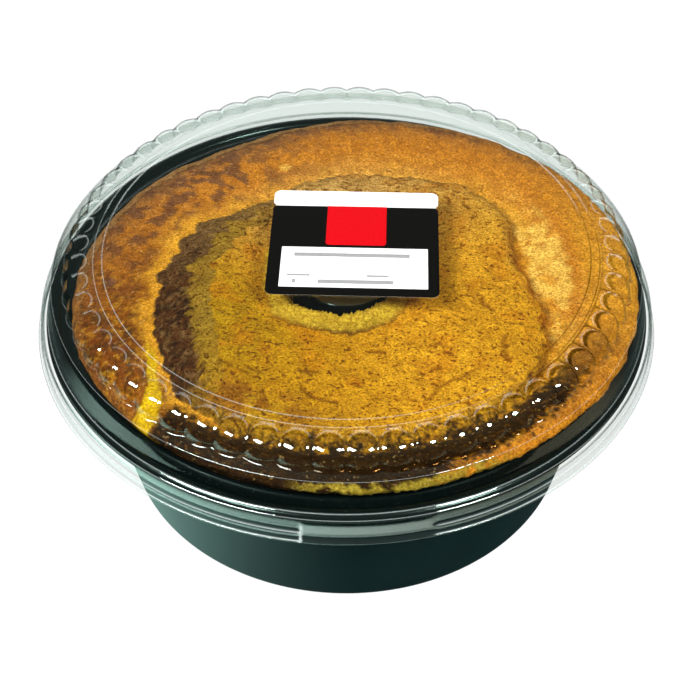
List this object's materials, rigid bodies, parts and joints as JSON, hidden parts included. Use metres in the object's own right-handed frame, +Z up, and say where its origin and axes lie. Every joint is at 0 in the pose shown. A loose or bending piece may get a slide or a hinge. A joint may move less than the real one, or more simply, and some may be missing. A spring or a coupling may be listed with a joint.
{
  "type": "packed angel food cake",
  "caption": "Ring-shaped angel food cake with a torn, browned top, shut in a black round tub with a hollow centre post under a clear lobed lid that bears a paper label.",
  "frame": {"origin": "on the table at the middle of the tub's foot", "axes": "+Z up; the label reads from -Y, and its long white strip lies towards +Y"},
  "size_m": [0.28, 0.28, 0.1199],
  "materials": {
    "tub_plastic": "glossy blue-black thermoformed plastic",
    "cake": "golden-brown baked sponge, porous torn crumb and a burnt shoulder",
    "lid_plastic": "clear thin thermoformed plastic with a faint green edge tint",
    "label_paper": "satin printed paper with plain fields of colour"
  },
  "bodies": {
    "root": {"tub": "tub_plastic", "tub_rim": "tub_plastic", "cake": "cake", "lid": "lid_plastic", "label": "label_paper"}
  },
  "joints": []
}
